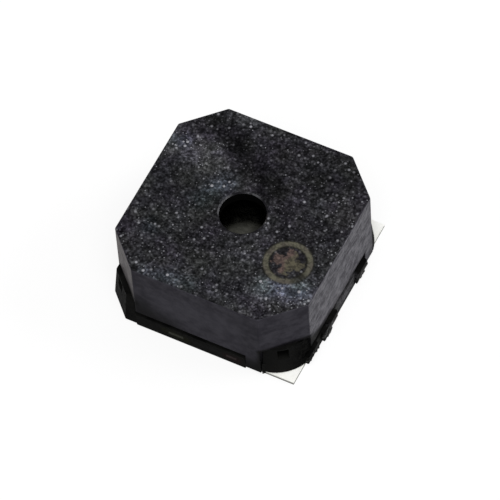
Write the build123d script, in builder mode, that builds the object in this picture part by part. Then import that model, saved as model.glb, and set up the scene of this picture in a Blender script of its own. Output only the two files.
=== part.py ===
from build123d import *
import os

# A surface-mount buzzer: a moulded cover with a sound hole stands on a moulded base,
# which holds three lead-frame terminals and a small electromagnet under a thin
# steel diaphragm. Sizes are in millimetres. The origin is the middle of the
# package in the plane of the solder pads' undersides, +Z is up, and the plus pad
# is in the corner towards +X and -Y.

# Package outline
body_width = 8.5
body_height = 4.0
cover_corner_cut = 1.5

# Cover
cover_wall = 0.45
cover_roof = 0.5
cover_corner_radius = 0.12
cover_edge_radius = 0.07
sound_hole_diameter = 1.9
hole_edge_break = 0.06
leg_width = 0.65
stop_ring_wall = 0.25

# Base
base_standoff = 0.05
flange_height = 0.7
groove_height = 0.25
post_height = 1.6
post_stand = 0.05
post_setback = 0.05
post_corner_cut = 1.0
pad_post_radius = 1.75
post_draft = 5.4
floor_thickness = 0.7
rim_wall = 0.3
rim_height = 0.25
ledge_width = 0.3
post_edge_radius = 0.1
window_width = 0.46
window_height = 0.52
window_lintel = 0.08
window_depth = 0.8
window_offset = -0.15

# Moulded bosses round the cut tie bars, on the two sides that face +X and -X
boss_stand = 0.15
boss_lift = 0.15
boss_draft = 6
boss_radius = 0.1
boss_root = 0.3
far_boss_length = 1.23
far_boss_place = -1.28
near_boss_length = 0.9
near_boss_to_leg = 0.875
corner_boss_stand = 0.1
corner_boss_length = 0.85

# Terminals, stamped from one strip
metal_thickness = 0.15
pad_size = 1.7
pad_setback = 0.14
tab_width = 0.9
tab_rise = 0.34
joggle_run = 0.35
joggle_radius = 0.1
rail_width = 0.35
rail_cover_gap = 0.15
link_width = 0.4
far_tie_width = 0.65
far_tie_place = -1.0
near_tie_width = 0.45
near_tie_to_leg = 0.975
tie_stand = 0.13

# Magnet system
yoke_thickness = 0.35
magnet_height = 1.05
magnet_wall = 0.9
magnet_edge_break = 0.08
core_diameter = 1.5
rivet_diameter = 1.1
core_edge_break = 0.06
coil_height = 1.2
coil_side_gap = 0.4
turns_per_layer = 10
groove_depth = 0.05
core_above_coil = 0.12
air_gap = 0.15
diaphragm_thickness = 0.06
mass_diameter = 3.0
mass_thickness = 0.25
mass_edge_break = 0.04

# Coil leads, their solder joints and the potted pockets under the base
lead_diameter = 0.08
lead_sides = 8
lead_bend_radius = 0.1
lead_gap_to_joint = 0.08
wire_hole_diameter = 0.4
pocket_width = 1.3
pocket_length = 1.4
joint_diameter = 0.56
joint_tip_diameter = 0.24
joint_height = 0.17
fill_recess = 0.04

# Clearances
cover_clearance = 0.05
leg_clearance = 0.04
leg_pad_gap = 0.02
drop_in_clearance = 0.05
core_clearance = 0.05
stop_clearance = 0.06
bead_width = 0.25

# Places across the package, worked out from the sizes above
half_body = body_width / 2
flat_half = half_body - cover_corner_cut
cover_depth = cover_wall + cover_clearance
leg_place = flat_half - leg_width / 2
near_boss_place = leg_place - near_boss_to_leg
near_tie_place = leg_place - near_tie_to_leg
upstand_width = body_width - 2 * cover_depth
rim_bore = upstand_width - 2 * rim_wall
cup_bore = rim_bore - 2 * ledge_width
diaphragm_diameter = rim_bore - 2 * drop_in_clearance
yoke_diameter = cup_bore - 2 * drop_in_clearance
magnet_bore = yoke_diameter - 2 * magnet_wall
coil_diameter = magnet_bore - 2 * coil_side_gap
coil_bore = core_diameter + 2 * core_clearance
stop_ring_diameter = rim_bore - 2 * drop_in_clearance
foot_width = body_width + 2 * post_stand
foot_depth = body_width - 2 * post_setback
foot_face = ((foot_width + foot_depth) / 2 - post_corner_cut) / 2**0.5
cover_bevel_face = (body_width - cover_corner_cut) / 2**0.5
pad_place = half_body - pad_setback - pad_size / 2
pad_inner_corner = (pad_place - pad_size / 2) * 2**0.5
link_place = (pad_inner_corner - joggle_run) / 2**0.5
rail_outer = half_body - cover_depth - rail_cover_gap
wire_hole_place = coil_diameter / 2 + wire_hole_diameter / 2 + lead_diameter
tab_end = wire_hole_place + wire_hole_diameter / 2
joint_place = tab_end + joint_diameter / 2 + lead_gap_to_joint
pocket_start = wire_hole_place - wire_hole_diameter / 2

# Levels up the package
flange_top = base_standoff + flange_height
skirt_bottom = flange_top + groove_height
post_top = base_standoff + post_height
floor_top = base_standoff + floor_thickness
roof_underside = body_height - cover_roof
leg_bottom = metal_thickness + leg_pad_gap
tab_top = tab_rise + metal_thickness
yoke_top = floor_top + yoke_thickness
core_top = yoke_top + coil_height + core_above_coil
ledge_level = core_top + air_gap
rim_top = ledge_level + rim_height
diaphragm_top = ledge_level + diaphragm_thickness
stop_ring_bottom = diaphragm_top + stop_clearance
window_top = post_top - window_lintel
lead_level = tab_rise - lead_diameter
turn_pitch = coil_height / turns_per_layer
lead_start_level = yoke_top + 1.5 * turn_pitch


# The cover's outline is a square with its four corners cut off. The space inside its
# walls and the base's upstand follow it at an even distance.
with BuildSketch() as cover_plan:
    Rectangle(body_width, body_width)
    chamfer(cover_plan.vertices(), cover_corner_cut)
cover_outline = cover_plan.sketch
cover_inside = offset(cover_outline, -cover_wall, kind=Kind.INTERSECTION, mode=Mode.PRIVATE)
upstand_outline = offset(cover_outline, -cover_depth, kind=Kind.INTERSECTION, mode=Mode.PRIVATE)

# The upright plane through the package's middle and the plus pad: its x runs out
# along the diagonal, and its y runs up.
plus_diagonal = Plane(origin=(0, 0, 0), x_dir=(1, -1, 0), z_dir=(-1, -1, 0))

# The cover is one moulding. Its flat walls hang over a groove in the base, its
# bevelled corners sit on the base's posts, and one leg a side locks it in turn.
with BuildPart() as cover:
    with BuildSketch(Plane.XY.offset(skirt_bottom)):
        add(cover_outline)
    extrude(amount=body_height - skirt_bottom)
    fillet(cover.edges().filter_by(Axis.Z), cover_corner_radius)
    fillet(cover.faces().sort_by(Axis.Z)[-1].edges(), cover_edge_radius)
    with BuildSketch(Plane.XY.offset(skirt_bottom)):
        add(cover_inside)
    extrude(amount=roof_underside - skirt_bottom, mode=Mode.SUBTRACT)
    with BuildSketch(Plane.XY.offset(skirt_bottom)):
        with GridLocations(2 * half_body, 2 * half_body, 2, 2):
            Rectangle(2 * cover_corner_cut, 2 * cover_corner_cut)
    extrude(amount=post_top - skirt_bottom, mode=Mode.SUBTRACT)
    with BuildSketch(Plane.XY.offset(leg_bottom)):
        with PolarLocations(half_body, 4):
            with Locations((-cover_wall / 2, leg_place)):
                Rectangle(cover_wall, leg_width)
    extrude(amount=skirt_bottom - leg_bottom)
    with BuildSketch(Plane.XY.offset(stop_ring_bottom)):
        Circle(stop_ring_diameter / 2)
        Circle(stop_ring_diameter / 2 - stop_ring_wall, mode=Mode.SUBTRACT)
    extrude(amount=roof_underside - stop_ring_bottom)
    with Locations((0, 0, body_height)):
        Hole(sound_hole_diameter / 2, depth=cover_roof)
    hole_rim = cover.faces().sort_by(Axis.Z)[-1].edges().filter_by(GeomType.CIRCLE)
    chamfer(hole_rim.sort_by(SortBy.RADIUS)[-1], hole_edge_break)


def corner_terminal(tie_end):
    """The terminal of the corner towards +X and -Y, with its tie bars cut at y = -tie_end."""
    with BuildPart() as blank:
        with BuildSketch():
            with Locations((pad_place, -pad_place)):
                Rectangle(pad_size, pad_size)
        extrude(amount=metal_thickness)
        with BuildSketch(plus_diagonal):
            with BuildLine():
                FilletPolyline(
                    (pad_inner_corner + tab_width, metal_thickness / 2),
                    (pad_inner_corner + joggle_run / 2, metal_thickness / 2),
                    (pad_inner_corner - joggle_run / 2, tab_rise + metal_thickness / 2),
                    (tab_end, tab_rise + metal_thickness / 2),
                    radius=joggle_radius,
                )
            trace(line_width=metal_thickness)
        extrude(amount=tab_width / 2, both=True)
        with BuildSketch(Plane.XY.offset(tab_rise)):
            with Locations((link_place, -rail_outer)):
                Rectangle(link_width, rail_outer - link_place, align=(Align.CENTER, Align.MIN))
            with Locations((far_tie_place - far_tie_width / 2, -rail_outer)):
                rail_length = link_place + link_width / 2 - far_tie_place + far_tie_width / 2
                Rectangle(rail_length, rail_width, align=(Align.MIN, Align.MIN))
            for place, width in ((far_tie_place, far_tie_width), (near_tie_place, near_tie_width)):
                with Locations((place, -rail_outer)):
                    Rectangle(width, tie_end - rail_outer, align=(Align.CENTER, Align.MAX))
        extrude(amount=metal_thickness)
    return blank.part


with BuildPart() as plus_terminal:
    add(corner_terminal(half_body))

with BuildPart() as minus_terminal:
    add(corner_terminal(half_body + tie_stand), rotation=(0, 0, 90))

with BuildPart() as support_terminal:
    mirror(minus_terminal.part, about=Plane.YZ)

# Each pocket under the base runs along a diagonal. Its roof is level with the
# top of the terminal's tab, and a hole for the coil's lead opens into it.
with BuildSketch(Plane.XY.offset(base_standoff)) as pocket_outlines:
    for turn in (-45, 45):
        with PolarLocations(pocket_start + pocket_length / 2, 1, start_angle=turn):
            Rectangle(pocket_length, pocket_width)

# The base is one moulding round the terminals: four drafted corner posts, a flange
# between them, and an upstand inside the cover, bored out as the magnet system's cup.
# The posts over the three pads are rounded and stop short of them, for the solder.
with BuildPart() as base:
    with BuildSketch(Plane.XY.offset(base_standoff)) as feet:
        Rectangle(foot_width, foot_depth)
        to_bare_corner = Axis((0, 0, 0), (-1, -1, 0))
        chamfer(feet.vertices().sort_by(to_bare_corner)[-1], post_corner_cut)
        fillet(feet.vertices().sort_by(to_bare_corner)[:-2], pad_post_radius)
    extrude(amount=post_height, taper=post_draft)
    bare_post_edges = base.edges().filter_by(Plane.XY, reverse=True).sort_by(to_bare_corner)[-2:]
    fillet(bare_post_edges, post_edge_radius)
    with BuildSketch(Plane.XY.offset(base_standoff)):
        with PolarLocations(half_body, 4):
            Rectangle(cover_corner_cut, 2 * (flat_half + leg_clearance))
    extrude(amount=post_height, mode=Mode.SUBTRACT)
    with BuildSketch(Plane.XY.offset(base_standoff)):
        with PolarLocations(cover_bevel_face, 3, start_angle=-45, angular_range=270):
            Rectangle(cover_corner_cut, 2 * cover_corner_cut, align=(Align.MIN, Align.CENTER))
    extrude(amount=boss_lift, mode=Mode.SUBTRACT)
    with BuildSketch(Plane.XY.offset(base_standoff)):
        add(cover_outline)
    extrude(amount=flange_height)
    with BuildSketch(Plane.XY.offset(base_standoff)):
        add(upstand_outline)
    extrude(amount=rim_top - base_standoff)
    with BuildSketch(Plane.XY.offset(base_standoff)):
        with PolarLocations(half_body, 4):
            with Locations((0, leg_place)):
                Rectangle(2 * cover_depth, leg_width + 2 * leg_clearance)
    extrude(amount=flange_height, mode=Mode.SUBTRACT)
    with BuildSketch(Plane.XY.offset(flange_top)):
        boss_depth = boss_root + boss_stand
        boss_middle = half_body + boss_stand - boss_depth / 2
        for side in (-boss_middle, boss_middle):
            with Locations((side, far_boss_place)):
                RectangleRounded(boss_depth, far_boss_length, boss_radius)
            with Locations((side, near_boss_place)):
                RectangleRounded(boss_depth, near_boss_length, boss_radius)
        with Locations((half_body + corner_boss_stand - boss_depth / 2, -flat_half)):
            RectangleRounded(boss_depth, corner_boss_length, boss_radius)
    extrude(amount=boss_lift - flange_height, taper=boss_draft)
    with Locations((0, 0, window_top - window_height / 2)):
        with PolarLocations(foot_face, 4, start_angle=45):
            with Locations((0, window_offset, 0)):
                Box(2 * window_depth, window_width, window_height, mode=Mode.SUBTRACT)
    with Locations((0, 0, rim_top)):
        CounterBoreHole(cup_bore / 2, rim_bore / 2, rim_height, depth=rim_top - floor_top)
    extrude(pocket_outlines.sketch, amount=tab_top - base_standoff, mode=Mode.SUBTRACT)
    with Locations((0, 0, floor_top)):
        with PolarLocations(wire_hole_place, 2, start_angle=-45, angular_range=180):
            Hole(wire_hole_diameter / 2, depth=floor_thickness)
    for terminal in (plus_terminal, minus_terminal, support_terminal):
        add(terminal.part, mode=Mode.SUBTRACT)

# Beads of glue in the groove hold the cover to the base.
with BuildPart() as cover_adhesive:
    with BuildSketch(Plane.XY.offset(flange_top)):
        with PolarLocations(half_body - cover_depth, 4):
            bead_length = 2 * flat_half - leg_width - leg_clearance
            with Locations((0, -flat_half)):
                Rectangle(bead_width, bead_length, align=(Align.MIN, Align.MIN))
    extrude(amount=groove_height)

# The yoke is a steel disc with a notch on each diagonal that a coil lead goes down.
with BuildPart() as yoke_plate:
    with BuildSketch(Plane.XY.offset(floor_top)):
        Circle(yoke_diameter / 2)
        Circle(rivet_diameter / 2, mode=Mode.SUBTRACT)
        with PolarLocations(wire_hole_place, 2, start_angle=-45, angular_range=180):
            Circle(wire_hole_diameter / 2, mode=Mode.SUBTRACT)
            notch_align = (Align.MIN, Align.CENTER)
            Rectangle(yoke_diameter / 2, wire_hole_diameter, align=notch_align, mode=Mode.SUBTRACT)
    extrude(amount=yoke_thickness)

# The core is a turned steel pin, riveted through the yoke.
with BuildPart() as pole_core:
    with BuildSketch(Plane.XY.offset(floor_top)):
        Circle(rivet_diameter / 2)
    extrude(amount=yoke_thickness)
    with BuildSketch(Plane.XY.offset(yoke_top)):
        Circle(core_diameter / 2)
    extrude(amount=core_top - yoke_top)
    chamfer(pole_core.edges().sort_by(Axis.Z)[-1], core_edge_break)

# The coil is a self-bonded winding, so its outside shows the turns of its last layer.
with BuildPart() as coil:
    groove_radius = coil_diameter / 2 - groove_depth
    with BuildSketch(Plane.XZ):
        with BuildLine():
            for turn in range(turns_per_layer):
                low = yoke_top + turn * turn_pitch
                Polyline(
                    (groove_radius, low),
                    (coil_diameter / 2, low + turn_pitch / 2),
                    (groove_radius, low + turn_pitch),
                )
            Polyline(
                (groove_radius, yoke_top + coil_height),
                (coil_bore / 2, yoke_top + coil_height),
                (coil_bore / 2, yoke_top),
                (groove_radius, yoke_top),
            )
        make_face()
    revolve(axis=Axis.Z)

with BuildPart() as ring_magnet:
    with BuildSketch(Plane.XY.offset(yoke_top)):
        Circle(yoke_diameter / 2)
        Circle(magnet_bore / 2, mode=Mode.SUBTRACT)
    extrude(amount=magnet_height)
    chamfer(ring_magnet.edges().filter_by(GeomType.CIRCLE), magnet_edge_break)

# The diaphragm lies loose on the base's ledge, held down by the magnet's pull, with
# a small steel disc welded to its middle.
with BuildPart() as diaphragm:
    with BuildSketch(Plane.XY.offset(ledge_level)):
        Circle(diaphragm_diameter / 2)
    extrude(amount=diaphragm_thickness)

with BuildPart() as diaphragm_mass:
    with BuildSketch(Plane.XY.offset(diaphragm_top)):
        Circle(mass_diameter / 2)
    extrude(amount=mass_thickness)
    chamfer(diaphragm_mass.edges().sort_by(Axis.Z)[-1], mass_edge_break)

# The plus lead leaves the coil's outside, goes down through the yoke's notch and the
# base's floor, and turns out under the terminal's tab. A few flats stand for the
# round section of so fine a wire.
with BuildPart() as plus_coil_lead:
    with BuildLine(plus_diagonal) as lead_route:
        FilletPolyline(
            (coil_diameter / 2, lead_start_level),
            (wire_hole_place, lead_start_level),
            (wire_hole_place, lead_level),
            (joint_place, lead_level),
            radius=lead_bend_radius,
        )
    with BuildSketch(Plane(origin=lead_route.line @ 0, z_dir=lead_route.line % 0)):
        RegularPolygon(lead_diameter / 2, lead_sides)
    sweep(path=lead_route.line)

with BuildPart() as minus_coil_lead:
    add(plus_coil_lead.part, rotation=(0, 0, 90))

# A cone of solder under the tab takes in the end of the lead.
with BuildPart() as plus_solder_joint:
    with Locations(plus_diagonal.from_local_coords((joint_place, tab_rise, 0))):
        joint_align = (Align.CENTER, Align.CENTER, Align.MAX)
        Cone(joint_tip_diameter / 2, joint_diameter / 2, joint_height, align=joint_align)
    add(plus_coil_lead.part, mode=Mode.SUBTRACT)

with BuildPart() as minus_solder_joint:
    add(plus_solder_joint.part, rotation=(0, 0, 90))

# Resin fills each pocket round the tab, the joint and the lead.
with BuildPart() as plus_pocket_fill:
    with BuildSketch(Plane.XY.offset(base_standoff + fill_recess)):
        with PolarLocations(pocket_start + pocket_length / 2, 1, start_angle=-45):
            Rectangle(pocket_length, pocket_width)
    extrude(amount=tab_top - base_standoff - fill_recess)
    for piece in (plus_terminal, plus_solder_joint, plus_coil_lead):
        add(piece.part, mode=Mode.SUBTRACT)

with BuildPart() as minus_pocket_fill:
    add(plus_pocket_fill.part, rotation=(0, 0, 90))

pieces = {
    "cover": cover,
    "base": base,
    "cover_adhesive": cover_adhesive,
    "plus_terminal": plus_terminal,
    "minus_terminal": minus_terminal,
    "support_terminal": support_terminal,
    "yoke_plate": yoke_plate,
    "pole_core": pole_core,
    "coil": coil,
    "ring_magnet": ring_magnet,
    "diaphragm": diaphragm,
    "diaphragm_mass": diaphragm_mass,
    "plus_coil_lead": plus_coil_lead,
    "minus_coil_lead": minus_coil_lead,
    "plus_solder_joint": plus_solder_joint,
    "minus_solder_joint": minus_solder_joint,
    "plus_pocket_fill": plus_pocket_fill,
    "minus_pocket_fill": minus_pocket_fill,
}
os.makedirs("parts", exist_ok=True)
for name, piece in pieces.items():
    piece.part.label = name
    export_step(piece.part, f"parts/{name}.step")
    print(name, "solids:", len(piece.part.solids()), "volume: %.3f mm3" % piece.part.volume)
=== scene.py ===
# %% [markdown]
# # Dressing a surface-mount buzzer
# The real thing is 8.5 mm wide: a charcoal moulded cover stands on a black moulded base,
# and bright tinned pads stick out under its corners. The parts arrive at their true size,
# so this script only adds finishes, small torn edges, light and a camera. Working at true
# size, and not in big round numbers, keeps every grain and scratch at its real scale.

# %% Load the measured parts
import math
import random
import bmesh
import bpy
from mathutils import Matrix, Quaternion, Vector, noise


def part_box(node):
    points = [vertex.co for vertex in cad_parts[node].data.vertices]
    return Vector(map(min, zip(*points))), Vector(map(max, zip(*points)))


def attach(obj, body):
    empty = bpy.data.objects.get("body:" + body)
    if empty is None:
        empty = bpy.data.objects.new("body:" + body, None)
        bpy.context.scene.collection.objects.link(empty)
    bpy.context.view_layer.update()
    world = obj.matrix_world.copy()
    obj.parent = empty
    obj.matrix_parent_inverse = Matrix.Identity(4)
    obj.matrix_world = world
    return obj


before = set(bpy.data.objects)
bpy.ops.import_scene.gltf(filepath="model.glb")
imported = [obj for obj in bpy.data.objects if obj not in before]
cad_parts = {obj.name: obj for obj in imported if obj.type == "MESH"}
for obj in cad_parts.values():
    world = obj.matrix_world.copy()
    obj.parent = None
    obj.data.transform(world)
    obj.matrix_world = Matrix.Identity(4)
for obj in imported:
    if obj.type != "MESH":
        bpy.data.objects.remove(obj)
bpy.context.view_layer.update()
MM = 0.001
cover_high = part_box("cover")[1]
base_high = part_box("base")[1]

# %% [markdown]
# ## The camera
# The photo was taken from above the near corner with a long lens, so upright edges stay
# nearly parallel. A camera can be placed by its rotation angles or by looking from a
# place to a target. Azimuth, elevation and a little roll say how a photographer held it.

# %% Place the camera
camera_azimuth = math.radians(30.3)
camera_elevation = math.radians(56.73)
camera_roll = math.radians(-4.44)
camera_distance = 199.8 * MM
aim_point = Vector((-0.154, 0.605, 0.393)) * MM
back = Vector((
    math.sin(camera_azimuth) * math.cos(camera_elevation),
    -math.cos(camera_azimuth) * math.cos(camera_elevation),
    math.sin(camera_elevation),
))
camera_data = bpy.data.cameras.new("camera")
camera_data.sensor_width = 36
camera_data.lens = 360
camera_data.clip_start = 0.01
camera_data.clip_end = 10
camera = bpy.data.objects.new("camera", camera_data)
camera.location = aim_point + back * camera_distance
camera.rotation_mode = "QUATERNION"
level_turn = (-back).to_track_quat("-Z", "Y")
camera.rotation_quaternion = level_turn @ Quaternion((0, 0, 1), camera_roll)
bpy.context.scene.collection.objects.link(camera)
bpy.context.scene.camera = camera
bpy.context.scene.view_settings.view_transform = "Standard"
print("camera at", [round(v / MM, 1) for v in camera.location], "mm")

# %% [markdown]
# ## Helpers for node trees
# Every finish below is a tree of nodes. Building one by hand takes many repeated lines,
# so a few helpers add a node, fill its inputs, and hand back the output to go on with.

# %% Helpers that add nodes


def feed(tree, socket, value):
    """Give a socket a link or a plain value."""
    if isinstance(value, bpy.types.NodeSocket):
        tree.links.new(value, socket)
    else:
        socket.default_value = value


def add_node(tree, kind, inputs=None, **options):
    """Add a node, set its options, and fill its inputs."""
    made = tree.nodes.new(kind)
    for name, value in options.items():
        setattr(made, name, value)
    for name, value in (inputs or {}).items():
        feed(tree, made.inputs[name], value)
    return made


def calculate(tree, operation, first, second=0.0, third=0.0):
    """The result of one Math node."""
    made = add_node(tree, "ShaderNodeMath", {0: first, 1: second, 2: third}, operation=operation)
    return made.outputs[0]


def product(tree, first, *others):
    """All the values multiplied together."""
    for other in others:
        first = calculate(tree, "MULTIPLY", first, other)
    return first


def blend_levels(tree, share, first, second):
    """The given share of the first level and the rest of the second."""
    return calculate(tree, "MULTIPLY_ADD", first, share, product(tree, second, 1 - share))


def remap(tree, value, start, end, low=0.0, high=1.0):
    """Turn a value that runs from start to end into a smooth step from low to high."""
    levels = {"Value": value, "From Min": start, "From Max": end, "To Min": low, "To Max": high}
    made = add_node(tree, "ShaderNodeMapRange", levels, interpolation_type="SMOOTHSTEP")
    return made.outputs[0]


print("number helpers ready")

# %% [markdown]
# ## Helpers for colours and places
# A pattern needs a place to read. Object coordinates stay with the piece when it moves,
# and counted in millimetres they let every pattern below say its real size. A noise that
# is denser along one axis than along another gives grain that runs one way.

# %% Helpers for colours and places


def colour(red, green, blue):
    """A colour with full cover, as the sockets want it."""
    return (red, green, blue, 1.0)


def mix_colours(tree, factor, first, second, blend="MIX"):
    """The colour between two colours."""
    inputs = {0: factor, 6: first, 7: second}
    return add_node(tree, "ShaderNodeMix", inputs, data_type="RGBA", blend_type=blend).outputs[2]


def as_grey(tree, level):
    """A level as a grey, to multiply a colour with."""
    channels = {"Red": level, "Green": level, "Blue": level}
    return add_node(tree, "ShaderNodeCombineColor", channels).outputs[0]


def vector_math(tree, operation, first, second=None):
    """The outputs of one Vector Math node."""
    inputs = {0: first} if second is None else {0: first, 1: second}
    return add_node(tree, "ShaderNodeVectorMath", inputs, operation=operation).outputs


def axes(tree, vector):
    """A vector's X, Y and Z."""
    return add_node(tree, "ShaderNodeSeparateXYZ", {0: vector}).outputs


def millimetres(tree):
    """The point on the object, counted in millimetres from the package's middle."""
    place = add_node(tree, "ShaderNodeTexCoord").outputs["Object"]
    return add_node(tree, "ShaderNodeVectorMath", {0: place, 3: 1 / MM}, operation="SCALE").outputs[0]


def noise_level(tree, place, per_mm, detail, roughness=0.5):
    """A noise from 0 to 1. Per_mm is its density, or one density for each axis."""
    if isinstance(per_mm, tuple):
        place = vector_math(tree, "MULTIPLY", place, per_mm)["Vector"]
        per_mm = 1.0
    inputs = {"Vector": place, "Scale": per_mm, "Detail": detail, "Roughness": roughness}
    return add_node(tree, "ShaderNodeTexNoise", inputs).outputs[0]


print("colour and place helpers ready")

# %% [markdown]
# ## Helpers for node groups
# An effect that several finishes share is built once, as a group with named inputs and
# outputs, and then placed in each finish with values of its own.

# %% Helpers for node groups
FLOAT = "NodeSocketFloat"
VECTOR = "NodeSocketVector"


def new_group(name, inputs, outputs):
    """An empty shader node group, with its input and output nodes."""
    group = bpy.data.node_groups.new(name, "ShaderNodeTree")
    for title, kind in inputs:
        group.interface.new_socket(title, in_out="INPUT", socket_type=kind)
    for title, kind in outputs:
        group.interface.new_socket(title, in_out="OUTPUT", socket_type=kind)
    given = group.nodes.new("NodeGroupInput").outputs
    wanted = group.nodes.new("NodeGroupOutput").inputs
    return group, given, wanted


def use_group(tree, group, inputs):
    """Place a node group in a tree and hand back its outputs."""
    return add_node(tree, "ShaderNodeGroup", inputs, node_tree=group).outputs


print("group helpers ready")

# %% [markdown]
# ## A spark-eroded grain
# Moulds for small electronic parts are eroded by sparks, and the craters leave a grain of
# tiny facets on the plastic. Some lie so that they catch the light. A contrast raised to
# a noise gives many dark facets and few bright ones, which is how such a face looks, and
# a Voronoi texture paints a round glint, a painted highlight, into some of its cells.

# %% Build the grain group
grain_group, given, wanted = new_group(
    "spark_eroded_grain",
    [("Place", VECTOR), ("Facet Size", FLOAT), ("Contrast", FLOAT), ("Share Lit", FLOAT)],
    [("Height", FLOAT), ("Tone", FLOAT), ("Painted Glint", FLOAT)],
)
tree = grain_group
coarse_weight = 0.7
facets_per_mm = calculate(tree, "DIVIDE", 1.0, given["Facet Size"])
fine = noise_level(tree, given["Place"], product(tree, facets_per_mm, 0.9), 1.0)
coarse = noise_level(tree, given["Place"], product(tree, facets_per_mm, 0.32), 1.0)
fine_swing = calculate(tree, "SUBTRACT", fine, 0.5)
coarse_swing = calculate(tree, "MULTIPLY_ADD", coarse, coarse_weight, -0.5 * coarse_weight)
both_swings = calculate(tree, "ADD", fine_swing, coarse_swing)


def round_painted_glints(tree, cells_per_facet, rarity, widest):
    """Painted highlights: dots of many sizes, one in each lit cell. Rarity makes bright ones scarce."""
    narrowest = 0.4 * widest
    scale = product(tree, facets_per_mm, cells_per_facet)
    cells = add_node(tree, "ShaderNodeTexVoronoi", {"Vector": given["Place"], "Scale": scale})
    cell_random = add_node(tree, "ShaderNodeSeparateColor", {"Color": cells.outputs["Color"]}).outputs
    lit = calculate(tree, "GREATER_THAN", given["Share Lit"], cell_random["Red"])
    bright = product(tree, lit, calculate(tree, "POWER", cell_random["Green"], rarity))
    reach = calculate(tree, "MULTIPLY_ADD", cell_random["Blue"], widest - narrowest, narrowest)
    outward = calculate(tree, "DIVIDE", cells.outputs["Distance"], reach)
    inward = calculate(tree, "SUBTRACT", 1.0, outward)
    return product(tree, bright, remap(tree, inward, 0.0, 0.75))


small_painted_glints = round_painted_glints(tree, cells_per_facet=0.62, rarity=2.4, widest=0.48)
wide_painted_glints = round_painted_glints(tree, cells_per_facet=0.40, rarity=4.0, widest=0.42)
painted_glint = calculate(tree, "MAXIMUM", small_painted_glints, wide_painted_glints)
tree.links.new(calculate(tree, "POWER", given["Contrast"], both_swings), wanted["Tone"])
tree.links.new(painted_glint, wanted["Painted Glint"])
tree.links.new(calculate(tree, "ADD", both_swings, painted_glint), wanted["Height"])
print("group", grain_group.name, "has", len(tree.nodes), "nodes")

# %% [markdown]
# ## Cloudy patches
# Handling, flow of the melt and dust give plastic large soft patches of slightly
# different tone. A low noise with soft limits is enough, and every finish can share it.

# %% Build the patch group
patch_group, given, wanted = new_group(
    "cloudy_patches",
    [("Place", VECTOR), ("Patch Size", FLOAT), ("Low", FLOAT), ("High", FLOAT)],
    [("Level", FLOAT)],
)
tree = patch_group
patches_per_mm = calculate(tree, "DIVIDE", 1.0, given["Patch Size"])
cloud = noise_level(tree, given["Place"], patches_per_mm, 2.0)
tree.links.new(remap(tree, cloud, 0.3, 0.7, given["Low"], given["High"]), wanted["Level"])


def patches(tree, place, patch_size, low=0.0, high=1.0):
    """Soft patches of the given size in millimetres, between two levels."""
    inputs = {"Place": place, "Patch Size": patch_size, "Low": low, "High": high}
    return use_group(tree, patch_group, inputs)["Level"]


print("group", patch_group.name, "has", len(tree.nodes), "nodes")

# %% [markdown]
# ## A soft stroke
# A few marks sit at one place only, such as a rubbed patch, a darker smear, a painted shade
# in a corner or a painted highlight on an edge. Each is a short stroke with a soft, ragged
# rim. The distance from a point to a line between two ends gives such a mask, and a spot is
# a stroke whose ends lie close together.

# %% Build the stroke group
stroke_group, given, wanted = new_group(
    "soft_stroke",
    [("Place", VECTOR), ("Start", VECTOR), ("End", VECTOR), ("Reach", FLOAT), ("Ragged", FLOAT)],
    [("Mask", FLOAT)],
)
tree = stroke_group
from_start = vector_math(tree, "SUBTRACT", given["Place"], given["Start"])["Vector"]
whole = vector_math(tree, "SUBTRACT", given["End"], given["Start"])["Vector"]
along = vector_math(tree, "DOT_PRODUCT", from_start, whole)["Value"]
whole_squared = vector_math(tree, "DOT_PRODUCT", whole, whole)["Value"]
share = calculate(tree, "DIVIDE", along, whole_squared)
share = add_node(tree, "ShaderNodeClamp", {"Value": share}).outputs[0]
nearest = add_node(tree, "ShaderNodeVectorMath", {0: whole, 3: share}, operation="SCALE").outputs["Vector"]
to_line = vector_math(tree, "SUBTRACT", from_start, nearest)["Vector"]
distance = vector_math(tree, "LENGTH", to_line)["Value"]
rag = calculate(tree, "SUBTRACT", noise_level(tree, given["Place"], 1.7, 4.0), 0.5)
ragged_distance = calculate(tree, "ADD", distance, product(tree, rag, given["Ragged"]))
relative = calculate(tree, "DIVIDE", ragged_distance, given["Reach"])
tree.links.new(remap(tree, relative, 0.1, 1.0, 1.0, 0.0), wanted["Mask"])


def soft_stroke(tree, place, start, end, reach, ragged):
    """The mask of one stroke, from its two ends, its reach and its raggedness in mm."""
    inputs = {"Place": place, "Start": start, "End": end, "Reach": reach, "Ragged": ragged}
    return use_group(tree, stroke_group, inputs)["Mask"]


print("group", stroke_group.name, "has", len(tree.nodes), "nodes")

# %% [markdown]
# ## The polarity mark
# A laser burns a ring with a plus in it beside the plus terminal. The beam leaves no
# thickness, only a dull olive line, so masks on the distance from the ring's middle do
# it. Adding noise to the distance gives the line its slightly frayed edge.

# %% Build the mark group
mark_group, given, wanted = new_group(
    "burnt_mark",
    [
        ("Place", VECTOR), ("Middle", VECTOR), ("Ring Radius", FLOAT),
        ("Line", FLOAT), ("Arm", FLOAT), ("Arm Line", FLOAT),
    ],
    [("Ring", FLOAT), ("Halo", FLOAT), ("Plus", FLOAT), ("Inside", FLOAT)],
)
tree = mark_group
frayed = calculate(tree, "SUBTRACT", noise_level(tree, given["Place"], 6.0, 4.0), 0.5)
frayed_shift = product(tree, frayed, 0.55)
away = vector_math(tree, "SUBTRACT", given["Place"], given["Middle"])["Vector"]
flat_away = vector_math(tree, "MULTIPLY", away, (1, 1, 0))["Vector"]
radius = vector_math(tree, "LENGTH", flat_away)["Value"]
past_ring = calculate(tree, "SUBTRACT", radius, given["Ring Radius"])
from_ring = calculate(tree, "ABSOLUTE", past_ring)
frayed_from_ring = calculate(tree, "MULTIPLY_ADD", frayed_shift, 0.12, from_ring)
ring_edge = calculate(tree, "SUBTRACT", frayed_from_ring, given["Line"])
tree.links.new(remap(tree, ring_edge, -0.05, 0.035, 1.0, 0.0), wanted["Ring"])
tree.links.new(remap(tree, ring_edge, 0.0, 0.12, 1.0, 0.0), wanted["Halo"])
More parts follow.
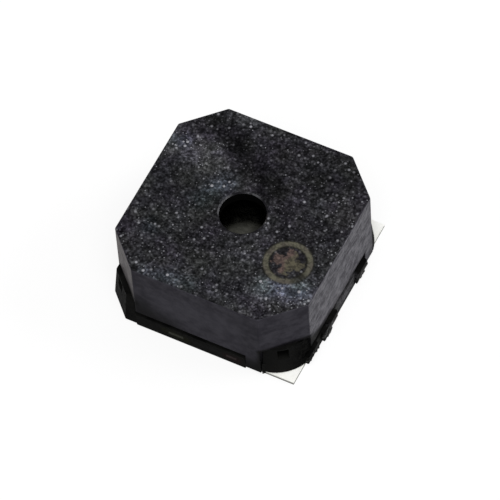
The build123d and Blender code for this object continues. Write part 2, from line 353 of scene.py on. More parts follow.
away_axes = axes(tree, flat_away)
along_x = calculate(tree, "ABSOLUTE", away_axes["X"])
along_y = calculate(tree, "ABSOLUTE", away_axes["Y"])
arm_end = calculate(tree, "SUBTRACT", calculate(tree, "MAXIMUM", along_x, along_y), given["Arm"])
arm_side = calculate(tree, "SUBTRACT", calculate(tree, "MINIMUM", along_x, along_y), given["Arm Line"])
plus_edge = calculate(tree, "ADD", calculate(tree, "MAXIMUM", arm_end, arm_side), frayed_shift)
tree.links.new(remap(tree, plus_edge, -0.07, 0.07, 1.0, 0.0), wanted["Plus"])
tree.links.new(remap(tree, past_ring, -0.1, 0.0, 1.0, 0.0), wanted["Inside"])
print("group", mark_group.name, "has", len(tree.nodes), "nodes")

# %% [markdown]
# ## Helpers for materials
# Every finish starts from a Principled shader, because it holds plastic and metal alike.
# These helpers fill its sockets, add a relief, and hand the finish to the parts.

# %% Helpers for materials


def new_material(name):
    """A material with its node tree and its Principled shader."""
    material = bpy.data.materials.new(name)
    material.use_nodes = True
    return material, material.node_tree, material.node_tree.nodes["Principled BSDF"]


def set_shader(tree, shader, **inputs):
    """Fill the shader's sockets with links or plain values. Names use _ for a space."""
    for name, value in inputs.items():
        feed(tree, shader.inputs[name.replace("_", " ")], value)


def add_bump(tree, height, depth_mm):
    """A Bump node's normal, for a relief of the given depth."""
    inputs = {"Distance": depth_mm * MM, "Height": height}
    return add_node(tree, "ShaderNodeBump", inputs).outputs[0]


def facing_axes(tree):
    """How far the surface faces along X, Y and Z, from -1 to 1."""
    return axes(tree, add_node(tree, "ShaderNodeTexCoord").outputs["Normal"])


def dress(names, material):
    """Give CAD nodes a material in place of their plain one."""
    for name in names:
        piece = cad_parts[name]
        if not piece.material_slots:
            piece.data.materials.append(material)
        for slot in piece.material_slots:
            slot.material = material
    print(material.name, "dresses", ", ".join(names))


# %% [markdown]
# ## The cover's top
# The cover is filled charcoal plastic. Its top is spark-eroded: dull facets, some painted
# glints, and slow drifts of tone between violet, green and slate. One ground colour times a
# level keeps the grain the same everywhere, so any mark can later be a change of the level.

# %% Mix the ground of the cover's top
top_level = cover_high.z / MM
violet = colour(0.0172, 0.0156, 0.0204)
slate = colour(0.0162, 0.0166, 0.0188)
green = colour(0.0148, 0.0156, 0.0134)
cover_finish, tree, shader = new_material("cover_finish")
place = millimetres(tree)
grain = use_group(
    tree, grain_group, {"Place": place, "Facet Size": 0.085, "Contrast": 80.0, "Share Lit": 0.9},
)


def drift(tree, place, shift, patch_size, low=0.0, high=1.0):
    """A slow drift of tone. The shift keeps one drift from copying another."""
    moved = vector_math(tree, "ADD", place, (shift, -0.6 * shift, 0.0))["Vector"]
    return patches(tree, moved, patch_size, low, high)


ground = mix_colours(tree, drift(tree, place, 7.0, 1.5), violet, slate)
green_share = product(tree, drift(tree, place, 0.0, 1.0), 0.55)
ground = mix_colours(tree, green_share, ground, green)
level = drift(tree, place, 3.0, 2.2, 0.74, 1.26)
print("the top is", top_level, "mm up")

# %% [markdown]
# ## Darker and paler places on the top
# Some strokes on the top are darker and some places paler. All of them scale the
# level, so the grain shows through every mark. A few places have a bluer cast as well.

# %% Mark the top
top_marks = [
    # start, end, reach, ragged, lift
    ((-2.60, 3.40), (-1.50, 2.80), 0.85, 0.7, -0.50),
    ((-1.50, 2.80), (0.70, 1.40), 0.90, 0.8, -0.50),
    ((0.70, 1.40), (1.50, 0.50), 0.70, 0.8, -0.38),
    ((0.60, 3.80), (2.40, 2.40), 0.70, 0.9, -0.30),
    ((-3.85, 0.70), (-2.70, -2.70), 0.70, 0.9, -0.22),
    ((0.21, -2.65), (0.22, -2.65), 0.48, 0.2, -0.35),
    ((-4.00, 2.10), (-2.60, 2.10), 1.05, 0.6, 1.00),
    ((-3.60, 1.60), (-2.50, 1.10), 0.80, 0.6, 0.45),
    ((-2.60, 2.30), (-1.25, 0.80), 0.85, 0.6, 0.55),
    ((-1.30, 0.80), (-1.80, -0.10), 0.55, 0.5, 0.60),
    ((-0.90, 0.90), (-0.30, 1.20), 0.40, 0.3, 0.60),
    ((0.00, -1.20), (1.20, -1.60), 0.70, 0.7, 0.22),
    ((2.35, -2.80), (3.70, -2.30), 0.95, 0.5, 2.85),
    ((-2.30, -4.10), (-0.40, -3.85), 0.50, 0.4, 0.70),
    ((0.70, -3.90), (2.20, -4.00), 0.45, 0.4, 0.90),
    ((-2.20, 4.10), (-1.20, 4.20), 0.50, 0.4, 0.60),
]
for start, end, reach, ragged, lift in top_marks:
    stroke = soft_stroke(tree, place, (*start, top_level), (*end, top_level), reach, ragged)
    level = product(tree, level, calculate(tree, "MULTIPLY_ADD", stroke, lift, 1.0))
top_colour = mix_colours(tree, 1.0, ground, as_grey(tree, product(tree, grain["Tone"], level)), "MULTIPLY")

bluer = colour(0.88, 1.03, 1.10)
bluer_marks = [
    # start, end, reach, strength
    ((2.45, -2.70), (3.65, -2.28), 0.90, 0.9),
    ((-1.20, 1.00), (-1.80, -0.10), 0.80, 0.8),
    ((-2.30, -4.10), (-0.40, -3.85), 0.60, 0.7),
    ((-4.00, 2.00), (-3.60, 2.10), 0.60, 0.6),
    ((-3.10, -1.90), (-3.00, -2.20), 0.50, 0.6),
]
for start, end, reach, strength in bluer_marks:
    stroke = soft_stroke(tree, place, (*start, top_level), (*end, top_level), reach, 0.5)
    top_colour = mix_colours(tree, product(tree, stroke, strength), top_colour, bluer, "MULTIPLY")
# The glints are painted highlights, mixed into the top's colour.
painted_glint_colour = colour(0.25, 0.25, 0.27)
top_colour = mix_colours(tree, product(tree, grain["Painted Glint"], level), top_colour, painted_glint_colour)
print("the top has", len(top_marks), "marks, and", len(bluer_marks), "places are bluer")

# %% [markdown]
# ## The mark on the top
# The ring is olive and patchy, and the plus inside is browner towards its left, broken up
# by the grain. The plastic between them is a little darker, where the beam passed without
# marking, and beside the pale patch a piece of the ring is rubbed off.

# %% Burn the mark in
mark_middle = (2.65, -1.34, top_level)
mark = use_group(
    tree, mark_group,
    {
        "Place": place, "Middle": mark_middle, "Ring Radius": 0.875,
        "Line": 0.11, "Arm": 0.60, "Arm Line": 0.20,
    },
)
mark_patch = drift(tree, place, 11.0, 0.45)
passed_over = colour(0.011, 0.010, 0.012)
scorched = colour(0.012, 0.012, 0.008)
top_colour = mix_colours(tree, product(tree, mark["Inside"], 0.35), top_colour, passed_over)
top_colour = mix_colours(tree, product(tree, mark["Halo"], 0.6), top_colour, scorched)

across_mark = axes(tree, vector_math(tree, "SUBTRACT", place, mark_middle)["Vector"])["X"]
uneven_across = calculate(tree, "ADD", across_mark, product(tree, mark_patch, 0.3))
olive_share = remap(tree, uneven_across, 0.0, 0.3)
plus_tint = mix_colours(tree, olive_share, colour(0.112, 0.078, 0.068), colour(0.088, 0.080, 0.054))
plus_grain = remap(tree, grain["Height"], -0.15, 0.2, 0.5, 1.1)
top_colour = mix_colours(tree, product(tree, mark["Plus"], plus_grain, 0.85), top_colour, plus_tint)

ring_tint = mix_colours(tree, mark_patch, colour(0.080, 0.072, 0.060), colour(0.098, 0.095, 0.068))
ring_grain = remap(tree, grain["Height"], -0.15, 0.12, 0.55, 1.0)
rubbed_off = soft_stroke(tree, place, (3.30, -1.75, top_level), (3.45, -1.95, top_level), 0.55, 0.3)
ring_left = calculate(tree, "MULTIPLY_ADD", rubbed_off, -0.85, 1.0)
top_colour = mix_colours(tree, product(tree, mark["Ring"], ring_grain, ring_left), top_colour, ring_tint)
print("the mark is at", mark_middle)

# %% [markdown]
# ## The cover's walls
# The walls left the mould smooth. The left and the right sides carry a haze of streaks along
# the wall, and are painted much paler as well, a painted sheen; the others have hardly any
# haze. Painted shade darkens all of them lower down. The surface's own direction tells a top
# from a wall, so one finish dresses the whole moulding. Streaks, blotches and a slow mottle
# together keep the haze from looking like one pattern.

# %% Mix the walls' haze and painted sheen
facing = facing_axes(tree)
at = axes(tree, place)
on_top = remap(tree, facing["Z"], 0.6, 0.9)
on_wall = calculate(tree, "SUBTRACT", 1.0, on_top)
on_left_sides = remap(tree, facing["X"], -0.69, -0.6, 1.0, 0.0)
on_right_wall = product(tree, remap(tree, facing["X"], 0.78, 0.95), remap(tree, at["X"], 4.05, 4.2))
on_haze_and_sheen_sides = calculate(tree, "MAXIMUM", on_right_wall, on_left_sides)
streaks = noise_level(tree, place, (7.0, 2.0, 7.0), 7.0, 0.75)
mottle = noise_level(tree, place, (2.4, 1.6, 3.0), 3.0, 0.6)
blotches = noise_level(tree, place, (4.5, 4.5, 3.5), 8.0, 0.78)
haze_level = blend_levels(tree, 0.75, blend_levels(tree, 0.5, streaks, blotches), mottle)
haze_share = remap(tree, haze_level, 0.405, 0.60)
# The pale colours of the left sides and the right wall are a painted sheen over the streaks.
right_haze_and_sheen = mix_colours(tree, haze_share, colour(0.040, 0.038, 0.046), colour(0.170, 0.167, 0.182))
left_haze_and_sheen = mix_colours(tree, haze_share, colour(0.080, 0.074, 0.075), colour(0.215, 0.200, 0.204))
haze_and_sheen_colour = mix_colours(tree, on_left_sides, right_haze_and_sheen, left_haze_and_sheen)
calm_share = remap(tree, blend_levels(tree, 0.7, mottle, blotches), 0.36, 0.63)
calm_colour = mix_colours(tree, calm_share, colour(0.0255, 0.024, 0.0305), colour(0.0475, 0.0455, 0.055))
wall_colour = mix_colours(tree, on_haze_and_sheen_sides, calm_colour, haze_and_sheen_colour)
# Painted shade: the walls darken lower down.
low_shade = remap(tree, at["Z"], 0.2, 1.3, 0.45, 1.0)
wall_colour = mix_colours(tree, 1.0, wall_colour, as_grey(tree, low_shade), "MULTIPLY")
print("two kinds of haze and a calm wall mixed")

# %% [markdown]
# ## Painted shade on the walls
# Painted shade darkens the lower corners, the seam with the base, the sides of the legs and
# the feet of the bevels, and one pale streak crosses the near wall. No pattern puts such
# marks in the right place, so each is a soft stroke from a list, as on the top.

# %% Paint the shade on the walls
wall = cover_high.x / MM
bevel_end = 2.75
painted_shade_black = colour(0.003, 0.003, 0.003)
# Each stroke below paints shade, darkening the wall towards near-black.
painted_wall_shade = [
    # start, end, reach, ragged, strength
    ((-3.40, -wall, 1.50), (-1.40, -wall, 0.60), 1.60, 0.50, 0.85),
    ((3.40, wall, 1.50), (1.40, wall, 0.60), 1.60, 0.50, 0.85),
    ((2.86, -wall, 1.50), (2.74, -wall, 0.10), 0.38, 0.10, 1.00),
    ((2.00, -wall, 0.20), (2.75, -wall, 0.15), 1.30, 0.20, 0.95),
    ((2.10, -wall, 3.20), (2.75, -wall, 1.60), 0.90, 0.40, 0.16),
    ((wall, 2.20, 1.00), (wall, -1.20, 0.98), 0.22, 0.20, 0.60),
    ((wall, -1.20, 0.95), (wall, -3.10, 1.12), 0.42, 0.25, 0.95),
    ((wall, -2.00, 1.05), (wall, -2.80, 1.45), 0.45, 0.10, 0.95),
    ((bevel_end, -wall, 1.66), (wall, -bevel_end, 1.72), 0.20, 0.05, 0.85),
    ((-bevel_end, -wall, 1.66), (-wall, -bevel_end, 1.66), 0.30, 0.05, 0.80),
]
for start, end, reach, ragged, strength in painted_wall_shade:
    painted_shade = soft_stroke(tree, place, start, end, reach, ragged)
    wall_colour = mix_colours(tree, product(tree, painted_shade, strength), wall_colour, painted_shade_black)
pale_streak = soft_stroke(tree, place, (-1.20, -wall, 2.40), (1.20, -wall, 2.70), 1.1, 1.4)
wall_colour = mix_colours(tree, product(tree, pale_streak, 0.35), wall_colour, colour(0.064, 0.062, 0.074))
cover_colour = mix_colours(tree, on_top, wall_colour, top_colour)
print("the walls have", len(painted_wall_shade), "strokes of grime")

# %% [markdown]
# ## The sound hole
# The bore is deep, and the shade in it is painted near-black on its wall. Its edge is
# broken by a small chamfer, which the solid has, and which is painted pale in places as
# a highlight. The chamfer is found by its slope between the top and the bore, and by its
# distance from the axis.

# %% Paint shade into the bore and a highlight on its rim
near_the_hole = 1.1
flat_place = vector_math(tree, "MULTIPLY", place, (1, 1, 0))["Vector"]
from_axis = vector_math(tree, "LENGTH", flat_place)["Value"]
near_hole = calculate(tree, "LESS_THAN", from_axis, near_the_hole)
# The bore's wall is painted near-black as painted shade.
bore_painted_shade = colour(0.0015, 0.0015, 0.0015)
cover_colour = mix_colours(tree, product(tree, near_hole, on_wall), cover_colour, bore_painted_shade)
steeper_than_top = remap(tree, facing["Z"], 0.9, 0.98, 1.0, 0.0)
flatter_than_bore = remap(tree, facing["Z"], 0.35, 0.55)
# The pale rim is a painted highlight on the chamfer.
painted_rim_highlight = remap(tree, blotches, 0.52, 0.66, 0.0, 0.4)
for start, end in (((-0.95, 0.35), (-0.92, -0.25)), ((-0.10, 1.00), (0.05, 1.00))):
    highlit_rim_stroke = soft_stroke(tree, place, (*start, top_level), (*end, top_level), 0.45, 0.3)
    painted_rim_highlight = calculate(tree, "MAXIMUM", painted_rim_highlight, highlit_rim_stroke)
broken_up = remap(tree, blotches, 0.42, 0.54, 0.15, 1.0)
rim_share = product(tree, near_hole, flatter_than_bore, steeper_than_top, painted_rim_highlight, broken_up)
cover_colour = mix_colours(tree, rim_share, cover_colour, colour(0.080, 0.080, 0.085))
print("bore and rim are within", near_the_hole, "mm of the axis")

# %% [markdown]
# ## The cover's relief and shine
# The top's facets stand proud by about a hundredth of a millimetre, and the walls'
# streaks by a tenth of that. Filled plastic is rough, and the brighter a facet the
# smoother it is. A very low specular level keeps the white room out of the dark surface.

# %% Finish the cover
wall_height = product(tree, streaks, on_wall)
top_height = product(tree, grain["Height"], on_top)
relief = calculate(tree, "MULTIPLY_ADD", wall_height, 0.1, top_height)
top_roughness = remap(tree, grain["Tone"], 0.3, 3.0, 0.8, 0.5)
wall_roughness = remap(tree, haze_level, 0.35, 0.65, 0.42, 0.5)
roughness_inputs = {0: on_top, 2: wall_roughness, 3: top_roughness}
cover_roughness = add_node(tree, "ShaderNodeMix", roughness_inputs, data_type="FLOAT").outputs[0]
set_shader(tree, shader, Base_Color=cover_colour, Roughness=cover_roughness, Specular_IOR_Level=0.012)
set_shader(tree, shader, Normal=add_bump(tree, relief, 0.014))
dress(["cover"], cover_finish)

# %% [markdown]
# ## The base's finish
# The base is a blacker plastic. It hardly shines, so it reads as black with a few soft
# edges. Only where the strip's tie bars were cut off is it rough, and paler there as a
# painted highlight on the creases. The torn skins get the same mixture with other values.

# %% Mix the base's finish


def mix_black_plastic(name, low_colour, high_colour, pale_from, pale_to, roughness, shine, relief_mm):
    """A black plastic with drifts of tone and a fine relief, and its colour for more marks."""
    material, tree, shader = new_material(name)
    place = millimetres(tree)
    fine = noise_level(tree, place, 8.0, 4.0, 0.65)
    shade = blend_levels(tree, 0.6, fine, patches(tree, place, 0.8))
    plastic_colour = mix_colours(tree, remap(tree, shade, pale_from, pale_to), low_colour, high_colour)
    varied = remap(tree, fine, 0.3, 0.7, roughness + 0.08, roughness - 0.08)
    set_shader(tree, shader, Base_Color=plastic_colour, Roughness=varied, Specular_IOR_Level=shine)
    set_shader(tree, shader, Normal=add_bump(tree, fine, relief_mm))
    return material, tree, shader, place, plastic_colour


# The pale colour of the torn skins is a painted highlight on their creases.
torn_finish = mix_black_plastic(
    "torn_finish", low_colour=colour(0.003, 0.003, 0.003), high_colour=colour(0.032, 0.032, 0.031),
    pale_from=0.48, pale_to=0.80, roughness=0.45, shine=0.06, relief_mm=0.03,
)[0]
base_finish, tree, shader, place, base_colour = mix_black_plastic(
    "base_finish", low_colour=colour(0.003, 0.003, 0.003), high_colour=colour(0.0075, 0.0075, 0.007),
    pale_from=0.25, pale_to=0.75, roughness=0.55, shine=0.006, relief_mm=0.01,
)
print("mixed", torn_finish.name, "and", base_finish.name)

# %% [markdown]
# ## Marks and painted light on the base
# The faces towards the plus corner, the post beside the plus pad among them, are painted a
# little paler as painted light, and the flange on the +X side carries a streaky painted
# highlight like the sheen on the wall above it. Beside the cut metal the flange is stained
# by its tarnish. The windows in the posts are deep, and the shade in them is painted
# near-black; painted shade also darkens the +X side of the plus post and the seam under the
# near bevel. The absolute value of the place puts one stroke on all four posts at once.

# %% Mark the base
facing = facing_axes(tree)
# Painted light: the faces towards the plus corner are a little paler.
to_plus_corner = product(tree, calculate(tree, "SUBTRACT", facing["X"], facing["Y"]), math.sqrt(0.5))
painted_light_towards_plus = remap(tree, to_plus_corner, 0.55, 0.85, 0.0, 0.75)
base_colour = mix_colours(tree, painted_light_towards_plus, base_colour, colour(0.0085, 0.0085, 0.0082))
window_place, window_low, window_high = 3.35, 1.10, 1.50
# Painted shade: the windows are darkened to near-black.
window_painted_shade = soft_stroke(
    tree, vector_math(tree, "ABSOLUTE", place)["Vector"],
    start=(window_place, window_place, window_low), end=(window_place, window_place, window_high),
    reach=0.45, ragged=0.0,
)
base_colour = mix_colours(tree, product(tree, window_painted_shade, 0.9), base_colour, colour(0.001, 0.001, 0.001))
streaky_break_up = remap(tree, noise_level(tree, place, (14.0, 3.5, 14.0), 6.0, 0.7), 0.40, 0.56, 0.15, 1.0)
base_stains_and_painted_light = [
    # start, end, reach, ragged, strength, colour
    # painted highlight on the +X flange, like the wall's sheen
    ((wall, 0.85, 0.50), (wall, -0.30, 0.50), 0.50, 0.45, 0.95, colour(0.092, 0.090, 0.097)),
    ((wall, -0.50, 0.50), (wall, -1.05, 0.50), 0.30, 0.10, 0.85, colour(0.040, 0.043, 0.037)),
    ((-1.45, -wall, 0.44), (-0.55, -wall, 0.38), 0.34, 0.20, 0.80, colour(0.013, 0.0135, 0.0075)),
    ((-0.20, -wall, 0.40), (1.00, -wall, 0.40), 0.20, 0.20, 0.70, colour(0.0125, 0.0125, 0.0125)),
    ((1.25, -wall, 0.42), (1.70, -wall, 0.42), 0.32, 0.15, 0.80, colour(0.014, 0.0080, 0.0080)),
    # painted shade on the +X side of the plus post
    ((4.20, -3.00, 1.60), (4.05, -3.20, 0.30), 0.90, 0.10, 1.00, colour(0.001, 0.001, 0.001)),
    # painted shade in the seam under the near bevel
    ((2.80, -wall, 1.50), (3.20, -4.10, 1.62), 0.18, 0.10, 0.80, colour(0.003, 0.003, 0.005)),
]
for start, end, reach, ragged, strength, tint in base_stains_and_painted_light:
    stroke = soft_stroke(tree, place, start, end, reach, ragged)
    base_colour = mix_colours(tree, product(tree, stroke, streaky_break_up, strength), base_colour, tint)
set_shader(tree, shader, Base_Color=base_colour)
print("the base has", len(base_stains_and_painted_light), "marks")
dress(["base"], base_finish)

# %% [markdown]
# ## Tinned metal
# The terminals are stamped from thin brass and plated with tin. The plate is creamy and
# satin. The lower half of each cut edge is painted grey, a painted shade on the thin edge,
# and where the tie bars were cut off after plating the ends are bare, dull and dark.

# %% Mix the terminals' finish
tin_finish, tree, shader = new_material("tin_finish")
place = millimetres(tree)
facing = facing_axes(tree)
at = axes(tree, place)
tin_fine = noise_level(tree, place, (14.0, 3.0, 14.0), 3.0, 0.6)
plate = mix_colours(tree, patches(tree, place, 0.5), colour(0.96, 0.96, 0.91), colour(0.98, 0.98, 0.95))
# Painted shade: the lower half of each edge face is grey.
on_edge = remap(tree, calculate(tree, "ABSOLUTE", facing["Z"]), 0.3, 0.8, 1.0, 0.0)
low_on_edge = remap(tree, at["Z"], 0.09, 0.12, 1.0, 0.0)
edge_painted_shade = colour(0.16, 0.16, 0.14)
tin_colour = mix_colours(tree, product(tree, on_edge, low_on_edge, 0.85), plate, edge_painted_shade)
from_middle_x = calculate(tree, "ABSOLUTE", at["X"])
from_middle_y = calculate(tree, "ABSOLUTE", at["Y"])
outermost = calculate(tree, "MAXIMUM", from_middle_x, from_middle_y)
cut_end = remap(tree, outermost, 4.18, 4.24)
reddish = remap(tree, at["X"], 0.4, 0.9)
bare = mix_colours(tree, reddish, colour(0.018, 0.019, 0.013), colour(0.011, 0.006, 0.006))
tin_colour = mix_colours(tree, cut_end, tin_colour, bare)
set_shader(tree, shader, Base_Color=tin_colour, Metallic=remap(tree, cut_end, 0.0, 1.0, 0.12, 0.0))
set_shader(tree, shader, Roughness=remap(tree, tin_fine, 0.3, 0.7, 0.45, 0.6), Specular_IOR_Level=0.05)
set_shader(tree, shader, Normal=add_bump(tree, tin_fine, 0.002))
dress(["plus_terminal", "minus_terminal", "support_terminal"], tin_finish)

# %% [markdown]
# ## Metals and resins inside
# The closed housing hides these, apart from a sliver of the disc under the sound hole.
# Each is still a piece of its own, so each gets the finish that it has on a bench. One
# function mixes a plain worked surface, because they differ only in colour, roughness and
# how their marks run.

# %% Mix the inner finishes


def mix_worked_surface(name, low_colour, high_colour, metallic, roughness, marks_per_mm, relief_mm):
    """A surface with fine marks and a varying roughness, and its colour for more marks."""
    material, tree, shader = new_material(name)
    place = millimetres(tree)
    marks = noise_level(tree, place, marks_per_mm, 3.0, 0.6)
    tone = blend_levels(tree, 0.5, marks, patches(tree, place, 1.1))
    worked_colour = mix_colours(tree, tone, low_colour, high_colour)
    varied = remap(tree, marks, 0.3, 0.7, roughness + 0.08, roughness - 0.06)
    set_shader(tree, shader, Base_Color=worked_colour, Metallic=metallic, Roughness=varied)
    set_shader(tree, shader, Normal=add_bump(tree, marks, relief_mm))
    return material, tree, shader, place, worked_colour


steel_finish = mix_worked_surface(
    "plated_steel_finish", low_colour=colour(0.42, 0.42, 0.40), high_colour=colour(0.62, 0.62, 0.60),
    metallic=1.0, roughness=0.34, marks_per_mm=(12.0, 12.0, 12.0), relief_mm=0.003,
)[0]
copper_finish = mix_worked_surface(
    "copper_wire_finish", low_colour=colour(0.42, 0.16, 0.06), high_colour=colour(0.68, 0.30, 0.13),
    metallic=0.9, roughness=0.3, marks_per_mm=(4.0, 4.0, 30.0), relief_mm=0.002,
)[0]
magnet_finish = mix_worked_surface(
    "magnet_finish", low_colour=colour(0.035, 0.035, 0.038), high_colour=colour(0.08, 0.08, 0.085),
    metallic=0.4, roughness=0.6, marks_per_mm=(18.0, 18.0, 18.0), relief_mm=0.01,
)[0]
solder_finish = mix_worked_surface(
    "solder_finish", low_colour=colour(0.55, 0.55, 0.54), high_colour=colour(0.8, 0.8, 0.79),
    metallic=1.0, roughness=0.25, marks_per_mm=(8.0, 8.0, 8.0), relief_mm=0.004,
)[0]
glue_finish = mix_worked_surface(
    "glue_finish", low_colour=colour(0.003, 0.003, 0.003), high_colour=colour(0.006, 0.006, 0.005),
    metallic=0.0, roughness=0.5, marks_per_mm=(6.0, 6.0, 6.0), relief_mm=0.02,
)[0]
resin_finish, tree, shader = mix_worked_surface(
    "resin_finish", low_colour=colour(0.012, 0.011, 0.010), high_colour=colour(0.024, 0.022, 0.019),
    metallic=0.0, roughness=0.22, marks_per_mm=(2.0, 2.0, 2.0), relief_mm=0.01,
)[:3]
set_shader(tree, shader, Specular_IOR_Level=0.04)
dress(["yoke_plate", "pole_core"], steel_finish)
dress(["coil", "plus_coil_lead", "minus_coil_lead"], copper_finish)
dress(["ring_magnet"], magnet_finish)
dress(["plus_solder_joint", "minus_solder_joint"], solder_finish)
dress(["cover_adhesive"], glue_finish)
dress(["plus_pocket_fill", "minus_pocket_fill"], resin_finish)

# %% [markdown]
# ## The disc under the sound hole
# The disc shows through the hole as a dark, mottled olive mirror. Towards the +X side a
# painted shade darkens it, which one more soft stroke does, so its colour is mixed once
# more before it goes to the parts.

# %% Mix the disc's finish
disc_top = 2.88
disc_finish, tree, shader, place, disc_colour = mix_worked_surface(
    "rolled_steel_finish", low_colour=colour(0.010, 0.010, 0.008), high_colour=colour(0.078, 0.078, 0.068),
    metallic=1.0, roughness=0.2, marks_per_mm=(4.0, 8.0, 3.0), relief_mm=0.001,
)
# A painted shade darkens the disc towards the +X side.
painted_disc_shade = soft_stroke(tree, place, (0.80, -0.30, disc_top), (0.70, 0.45, disc_top), 0.65, 0.4)
disc_colour = mix_colours(tree, product(tree, painted_disc_shade, 0.9), disc_colour, colour(0.008, 0.008, 0.007))
set_shader(tree, shader, Base_Color=disc_colour)
dress(["diaphragm", "diaphragm_mass"], disc_finish)

# %% [markdown]
# ## Torn plastic where the strip was cut away
# The lead frame's strip leaves the base through small bosses. When it is cut, the plastic
# round each cut tears and smears into lumps. They could be sculpted, but a few groups of
# small balls with uneven surfaces, fused into one skin, give the same lumps from a short
# list. The fusing modifier can't work at a hundredth of a millimetre, so the lumps are
# made a thousand times too big, fused, and then scaled down in the mesh.

# %% Helpers for torn edges
skin_cell = 0.022


def uneven_ball(shape, middle, reach, seed):
    """One lump: a ball with an uneven surface, stretched to its reach."""
    swell_size = 1.6
    swell_depth = 0.45
    verts = bmesh.ops.create_icosphere(shape, subdivisions=3, radius=1.0)["verts"]
    for vert in verts:
        swell = noise.fractal(vert.co * swell_size + Vector((seed, 0, 0)), 0.5, 2.1, 4)
        vert.co *= 1 + swell_depth * swell
    bmesh.ops.scale(shape, verts=verts, vec=reach)
    bmesh.ops.translate(shape, verts=verts, vec=middle)


def fuse_and_shrink(name, shape):
    """Fuse the overlapping lumps into one skin, bring it to true size and link it."""
    rough_mesh = bpy.data.meshes.new(name + "_rough")
    shape.to_mesh(rough_mesh)
    shape.free()
    rough = bpy.data.objects.new(name + "_rough", rough_mesh)
    bpy.context.scene.collection.objects.link(rough)
    fuse = rough.modifiers.new("fuse", "REMESH")
    fuse.mode = "VOXEL"
    fuse.voxel_size = skin_cell
    fused = rough.evaluated_get(bpy.context.evaluated_depsgraph_get())
    mesh = bpy.data.meshes.new_from_object(fused)
    bpy.data.objects.remove(rough)
    mesh.name = name
    mesh.transform(Matrix.Scale(MM, 4))
    mesh.polygons.foreach_set("use_smooth", [True] * len(mesh.polygons))
    piece = bpy.data.objects.new(name, mesh)
    bpy.context.scene.collection.objects.link(piece)
    return piece


print("cells of the fused skin:", skin_cell, "mm")

# %% [markdown]
# ## Tearing each boss
# Each lump is a group of three balls side by side, a little different in size, depth and
# height. Before they are fused, they are kept inside the package's box and off the board
# that it stands on. The random numbers are seeded, so every run tears the same way.

# %% Helper that tears one boss
widest = base_high.x / MM - 0.004
lowest = 0.06
deepest = 0.13
random.seed(11)


def tear_boss(name, side, x_out, lumps, seed):
    """A torn skin on one boss, fused from lumps given by place, height and reach."""
    shape = bmesh.new()
    for order, (along, up, reach) in enumerate(lumps):
        for part in range(3):
            size = reach * random.uniform(0.55, 0.85)
            depth = min(size, deepest) * random.uniform(0.7, 1.0)
            out = x_out - depth * random.uniform(0.7, 1.1)
            shift = reach * (part - 1) * random.uniform(0.5, 0.8)
            rise = reach * random.uniform(-0.25, 0.25)
            middle = (side * out, along + shift, up + rise)
            uneven_ball(shape, middle, (depth, size, size * 0.9), seed + 3.1 * order + part)
    for vert in shape.verts:
        vert.co.x = max(-widest, min(widest, vert.co.x))
        vert.co.z = max(lowest, vert.co.z)
    piece = fuse_and_shrink(name, shape)
    piece.data.materials.append(torn_finish)
    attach(piece, "root")
    print(name, "has", len(piece.data.polygons), "faces")


print("torn edges stay within", round(widest, 3), "mm of the middle")

# %% [markdown]
# ## Where it tore
# The lumps near the plus corner follow the outline in the photo. The far side can't be
# seen, so it repeats the lumps of the right side's bosses. A list of places is easier to
# compare with a photo, and to correct, than a sculpted shape.

# %% Tear the edges
# place along the edge, height, reach
corner_lumps = [(-2.50, 0.38, 0.20), (-2.66, 0.62, 0.15), (-2.90, 0.44, 0.18), (-2.45, 0.66, 0.12)]
front_lumps = [
    (-1.52, 0.24, 0.26), (-1.70, 0.52, 0.20), (-1.28, 0.44, 0.22), (-1.10, 0.60, 0.14), (-1.45, 0.66, 0.16),
]
back_lumps = [(1.25, 0.34, 0.20), (1.50, 0.55, 0.20), (1.80, 0.40, 0.18), (1.55, 0.28, 0.16)]
torn_edges = [
    # name, side, how far out, lumps
    ("torn_edge_plus_corner", 1, 4.36, corner_lumps),
    ("torn_edge_right_front", 1, 4.40, front_lumps),
    ("torn_edge_right_back", 1, 4.40, back_lumps),
    ("torn_edge_left_front", -1, 4.40, front_lumps),
    ("torn_edge_left_back", -1, 4.40, back_lumps),
]
for order, (name, side, x_out, lumps) in enumerate(torn_edges):
    tear_boss(name, side, x_out, lumps, 17.0 * order)

# %% [markdown]
# ## The floor
# The photo is a product shot on pure white. A floor that is simply white would throw too
# much light on the part, so this one shows white only to the camera and in reflections,
# and is a mid grey to the rays that carry light. It still takes a soft shadow. Seen from
# below it lets the view through.

# %% Make the floor
floor_size = 400 * MM
floor_gap = 0.01 * MM
floor_shape = bmesh.new()
bmesh.ops.create_grid(floor_shape, x_segments=1, y_segments=1, size=floor_size / 2)
bmesh.ops.translate(floor_shape, verts=floor_shape.verts, vec=(0, 0, -floor_gap))
floor_mesh = bpy.data.meshes.new("floor")
floor_shape.to_mesh(floor_mesh)
floor_shape.free()
floor = bpy.data.objects.new("floor", floor_mesh)
bpy.context.scene.collection.objects.link(floor)
white = colour(1, 1, 1)


def rays_that_see_white(tree):
    """1 for camera, glossy and transmission rays, and 0 for the rays that carry light."""
    path = add_node(tree, "ShaderNodeLightPath").outputs
    straight = calculate(tree, "MAXIMUM", path["Is Camera Ray"], path["Is Transmission Ray"])
    return calculate(tree, "MAXIMUM", straight, path["Is Glossy Ray"])


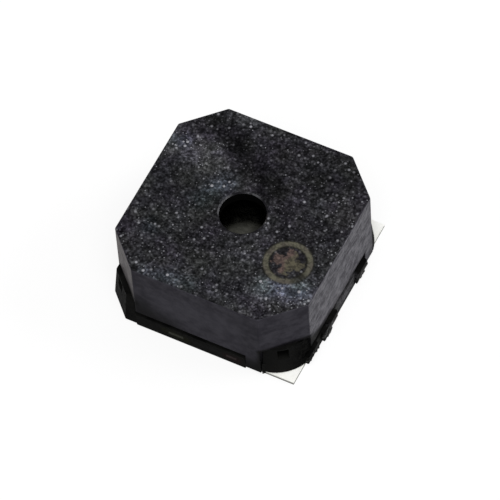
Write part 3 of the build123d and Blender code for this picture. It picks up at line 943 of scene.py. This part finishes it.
floor_finish = bpy.data.materials.new("floor_finish")
floor_finish.use_nodes = True
tree = floor_finish.node_tree
tree.nodes.clear()
diffuse = add_node(tree, "ShaderNodeBsdfDiffuse", {"Color": colour(0.2, 0.2, 0.2)})
glow_strength = product(tree, rays_that_see_white(tree), 0.8)
glow = add_node(tree, "ShaderNodeEmission", {"Color": white, "Strength": glow_strength})
lit = add_node(tree, "ShaderNodeAddShader", {0: diffuse.outputs[0], 1: glow.outputs[0]})
clear = add_node(tree, "ShaderNodeBsdfTransparent")
from_below = add_node(tree, "ShaderNodeNewGeometry").outputs["Backfacing"]
one_sided = add_node(tree, "ShaderNodeMixShader", {0: from_below, 1: lit.outputs[0], 2: clear.outputs[0]})
add_node(tree, "ShaderNodeOutputMaterial", {"Surface": one_sided.outputs[0]})
floor_mesh.materials.append(floor_finish)
print("floor is", round(floor_size / MM), "mm wide")

# %% [markdown]
# ## The sky
# The sky does the same as the floor: white where it is seen, and less than half of that
# as a light, so that dark plastic stays dark.

# %% Make the sky
sky_fill = 0.45
world = bpy.data.worlds.new("studio")
bpy.context.scene.world = world
world.use_nodes = True
tree = world.node_tree
tree.nodes.clear()
sky_level = remap(tree, rays_that_see_white(tree), 0.0, 1.0, sky_fill, 1.0)
sky = add_node(tree, "ShaderNodeBackground", {"Color": white, "Strength": sky_level})
add_node(tree, "ShaderNodeOutputWorld", {"Surface": sky.outputs[0]})
print("the sky lights with", sky_fill, "of its white")

# %% [markdown]
# ## The lamps
# A broad key lamp over the near side lifts the top, and a side lamp brings out the haze
# on the right wall. Sun lamps are used, because their light is even at any scale, and a
# wide angle keeps their shadows soft.

# %% Hang the lamps


def hang_lamp(name, towards, strength, softness):
    """A soft distant lamp that shines from one side. Softness is its width in degrees."""
    data = bpy.data.lights.new(name, "SUN")
    data.energy = strength
    data.angle = math.radians(softness)
    lamp = bpy.data.objects.new(name, data)
    lamp.rotation_mode = "QUATERNION"
    lamp.rotation_quaternion = Vector(towards).to_track_quat("Z", "Y")
    bpy.context.scene.collection.objects.link(lamp)


hang_lamp("key_lamp", (0.25, -0.5, 1.0), 1.9, 45)
hang_lamp("side_lamp", (1.0, 0.6, 0.5), 1.5, 40)
print("two lamps hung")
